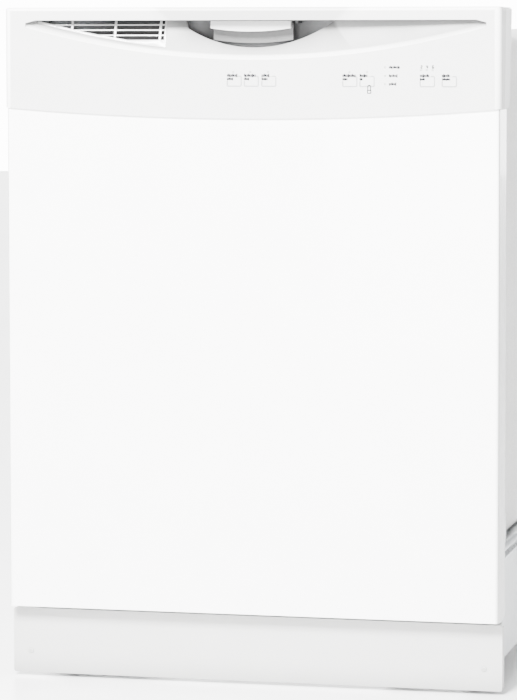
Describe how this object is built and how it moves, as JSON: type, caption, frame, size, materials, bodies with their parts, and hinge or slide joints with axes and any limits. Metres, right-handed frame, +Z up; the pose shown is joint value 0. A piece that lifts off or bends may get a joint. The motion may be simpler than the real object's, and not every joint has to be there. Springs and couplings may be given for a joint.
{
  "type": "built-in dishwasher",
  "caption": "Built-in dishwasher with a drop-down door, eyebrow control console, two wire racks, spray arms, sump with pumps, recessed toe kick and levelling legs.",
  "frame": {"origin": "on the floor, under the centre of the closed dishwasher's box", "axes": "+Z up, -Y towards a person standing at the door, +X to that person's right"},
  "size_m": [0.606, 0.625, 0.818],
  "materials": {
    "white_abs": "gloss white moulding",
    "white_paint": "gloss white enamel",
    "toe_paint": "satin white enamel",
    "grey_abs": "satin light grey moulding",
    "tub_plastic": "satin grey polypropylene",
    "liner_plastic": "satin grey polypropylene",
    "dark_plastic": "matt dark polypropylene",
    "mid_plastic": "satin grey polypropylene",
    "blue_plastic": "gloss blue moulding",
    "light_pipe": "clear acrylic",
    "board": "green solder mask",
    "coated_wire": "grey nylon-coated wire",
    "galvanised": "galvanised steel",
    "steel": "zinc-plated steel",
    "element": "oxidised heater sheath",
    "rubber": "soft grey rubber",
    "mastic": "bitumen pad",
    "felt": "white fibre blanket"
  },
  "bodies": {
    "tub_and_base": {"tub": "tub_plastic", "tub_gasket": "rubber", "tub_insulation": "felt", "base_frame": "galvanised", "hinge_brackets": "galvanised", "toe_kick": "toe_paint", "access_panel": "dark_plastic", "toe_kick_screws": "steel", "mounting_brackets": "galvanised", "latch_strike": "steel", "sump": "dark_plastic", "wash_pump": "dark_plastic", "drain_pump": "dark_plastic", "heating_element": "element", "inlet_valve": "mid_plastic", "junction_box": "galvanised", "feed_tube": "mid_plastic"},
    "door": {"door_panel": "white_paint", "door_liner": "liner_plastic", "door_insulation": "mastic", "console_fascia": "white_abs", "console_back": "grey_abs", "vent_grille": "white_abs", "handle_pocket": "grey_abs", "status_lights": "light_pipe", "control_board": "board", "detergent_dispenser": "mid_plastic", "hinge_arms": "galvanised", "door_springs": "steel"},
    "latch_handle": {"latch_handle": "white_abs"},
    "latch_hook": {"latch_hook": "steel"},
    "vent_flap": {"vent_flap": "dark_plastic"},
    "detergent_lid": {"detergent_lid": "liner_plastic"},
    "rinse_aid_cap": {"rinse_aid_cap": "blue_plastic"},
    "lower_rack": {"lower_rack": "coated_wire"},
    "upper_rack": {"upper_rack": "coated_wire", "rack_rails": "steel"},
    "silverware_basket": {"silverware_basket": "mid_plastic"},
    "cup_shelf": {"cup_shelf": "coated_wire"},
    "folding_tines": {"folding_tines": "coated_wire"},
    "lower_spray_arm": {"lower_spray_arm": "mid_plastic"},
    "upper_spray_arm": {"upper_spray_arm": "mid_plastic"},
    "filter": {"filter": "mid_plastic"},
    "float": {"float": "white_abs"},
    "pump_rotor": {"pump_rotor": "mid_plastic"},
    "front_rail_rollers": {"front_rail_rollers": "white_abs"},
    "rear_rail_rollers": {"rear_rail_rollers": "white_abs"},
    "front_rack_wheels": {"front_rack_wheels": "mid_plastic"},
    "rear_rack_wheels": {"rear_rack_wheels": "mid_plastic"},
    "heavy_wash_button": {"heavy_wash_button": "white_abs"},
    "normal_wash_button": {"normal_wash_button": "white_abs"},
    "light_wash_button": {"light_wash_button": "white_abs"},
    "high_temp_button": {"high_temp_button": "white_abs"},
    "heat_dry_button": {"heat_dry_button": "white_abs"},
    "delay_start_button": {"delay_start_button": "white_abs"},
    "start_button": {"start_button": "white_abs"},
    "front_left_leg": {"front_left_leg": "steel"},
    "front_right_leg": {"front_right_leg": "steel"},
    "rear_left_leg": {"rear_left_leg": "steel"},
    "rear_right_leg": {"rear_right_leg": "steel"}
  },
  "joints": [
    {"name": "door_hinge", "type": "hinge", "parent": "tub_and_base", "child": "door", "pos_m": [0, -0.2895, 0.13], "axis": [1, 0, 0], "range_deg": [0, 90], "stiffness_Nm_per_rad": 14, "deforming": ["door_springs"]},
    {"name": "lower_rack_slide", "type": "slide", "parent": "tub_and_base", "child": "lower_rack", "axis": [0, -1, 0], "range_m": [0, 0.15]},
    {"name": "upper_rack_slide", "type": "slide", "parent": "tub_and_base", "child": "upper_rack", "axis": [0, -1, 0], "range_m": [0, 0.42]},
    {"name": "handle_pull", "type": "hinge", "parent": "door", "child": "latch_handle", "pos_m": [0, -0.282, 0.8035], "axis": [-1, 0, 0], "range_deg": [0, 8], "stiffness_Nm_per_rad": 0.5},
    {"name": "hook_lift", "type": "hinge", "parent": "door", "child": "latch_hook", "pos_m": [0, -0.2625, 0.809], "axis": [1, 0, 0], "range_deg": [0, 15]},
    {"name": "vent_flap_swing", "type": "hinge", "parent": "door", "child": "vent_flap", "pos_m": [0, -0.2715, 0.801], "axis": [1, 0, 0], "range_deg": [0, 20]},
    {"name": "lid_slide", "type": "slide", "parent": "door", "child": "detergent_lid", "axis": [0, 0, -1], "range_m": [0, 0.061]},
    {"name": "rinse_cap_turn", "type": "hinge", "parent": "door", "child": "rinse_aid_cap", "pos_m": [0.05, -0.2305, 0.52], "axis": [0, 1, 0], "range_deg": [0, 90]},
    {"name": "heavy_wash_press", "type": "slide", "parent": "door", "child": "heavy_wash_button", "axis": [0, 1, 0], "range_m": [0, 0.0008], "stiffness_N_per_m": 900},
    {"name": "normal_wash_press", "type": "slide", "parent": "door", "child": "normal_wash_button", "axis": [0, 1, 0], "range_m": [0, 0.0008], "stiffness_N_per_m": 900},
    {"name": "light_wash_press", "type": "slide", "parent": "door", "child": "light_wash_button", "axis": [0, 1, 0], "range_m": [0, 0.0008], "stiffness_N_per_m": 900},
    {"name": "high_temp_press", "type": "slide", "parent": "door", "child": "high_temp_button", "axis": [0, 1, 0], "range_m": [0, 0.0008], "stiffness_N_per_m": 900},
    {"name": "heat_dry_press", "type": "slide", "parent": "door", "child": "heat_dry_button", "axis": [0, 1, 0], "range_m": [0, 0.0008], "stiffness_N_per_m": 900},
    {"name": "delay_start_press", "type": "slide", "parent": "door", "child": "delay_start_button", "axis": [0, 1, 0], "range_m": [0, 0.0008], "stiffness_N_per_m": 900},
    {"name": "start_press", "type": "slide", "parent": "door", "child": "start_button", "axis": [0, 1, 0], "range_m": [0, 0.0008], "stiffness_N_per_m": 900},
    {"name": "basket_lift", "type": "slide", "parent": "lower_rack", "child": "silverware_basket", "axis": [0, 0, 1], "range_m": [0, 0.06]},
    {"name": "cup_shelf_fold", "type": "hinge", "parent": "upper_rack", "child": "cup_shelf", "pos_m": [-0.212, 0.02, 0.608], "axis": [0, -1, 0], "range_deg": [0, 80]},
    {"name": "tine_fold", "type": "hinge", "parent": "lower_rack", "child": "folding_tines", "pos_m": [0, 0.132, 0.223], "axis": [1, 0, 0], "range_deg": [0, 85]},
    {"name": "lower_arm_spin", "type": "hinge", "parent": "tub_and_base", "child": "lower_spray_arm", "pos_m": [0, 0.03575, 0.195], "axis": [0, 0, 1], "continuous": true},
    {"name": "upper_arm_spin", "type": "hinge", "parent": "upper_rack", "child": "upper_spray_arm", "pos_m": [0, 0.03575, 0.46], "axis": [0, 0, 1], "continuous": true},
    {"name": "filter_turn", "type": "hinge", "parent": "tub_and_base", "child": "filter", "pos_m": [-0.048, 0.01575, 0.15], "axis": [0, 0, 1], "range_deg": [0, 45]},
    {"name": "float_rise", "type": "slide", "parent": "tub_and_base", "child": "float", "axis": [0, 0, 1], "range_m": [0, 0.012]},
    {"name": "pump_spin", "type": "hinge", "parent": "tub_and_base", "child": "pump_rotor", "pos_m": [0.13, 0.03575, 0.09], "axis": [1, 0, 0], "continuous": true},
    {"name": "front_roller_spin", "type": "hinge", "parent": "tub_and_base", "child": "front_rail_rollers", "pos_m": [0, -0.1945, 0.566], "axis": [1, 0, 0], "continuous": true},
    {"name": "rear_roller_spin", "type": "hinge", "parent": "tub_and_base", "child": "rear_rail_rollers", "pos_m": [0, -0.1525, 0.566], "axis": [1, 0, 0], "continuous": true},
    {"name": "front_wheel_spin", "type": "hinge", "parent": "lower_rack", "child": "front_rack_wheels", "pos_m": [0, -0.1385, 0.2063], "axis": [1, 0, 0], "continuous": true},
    {"name": "rear_wheel_spin", "type": "hinge", "parent": "lower_rack", "child": "rear_rack_wheels", "pos_m": [0, 0.204, 0.2063], "axis": [1, 0, 0], "continuous": true},
    {"name": "front_left_leg_screw", "type": "slide", "parent": "tub_and_base", "child": "front_left_leg", "axis": [0, 0, -1], "range_m": [0, 0.038]},
    {"name": "front_right_leg_screw", "type": "slide", "parent": "tub_and_base", "child": "front_right_leg", "axis": [0, 0, -1], "range_m": [0, 0.038]},
    {"name": "rear_left_leg_screw", "type": "slide", "parent": "tub_and_base", "child": "rear_left_leg", "axis": [0, 0, -1], "range_m": [0, 0.038]},
    {"name": "rear_right_leg_screw", "type": "slide", "parent": "tub_and_base", "child": "rear_right_leg", "axis": [0, 0, -1], "range_m": [0, 0.038]}
  ],
  "couplings": [
    {"joint": "upper_rack_slide", "follows": "door_hinge", "m_per_rad": 0.266},
    {"joint": "lower_rack_slide", "follows": "door_hinge", "m_per_rad": 0.094},
    {"joint": "hook_lift", "follows": "handle_pull", "ratio": 1.8}
  ]
}
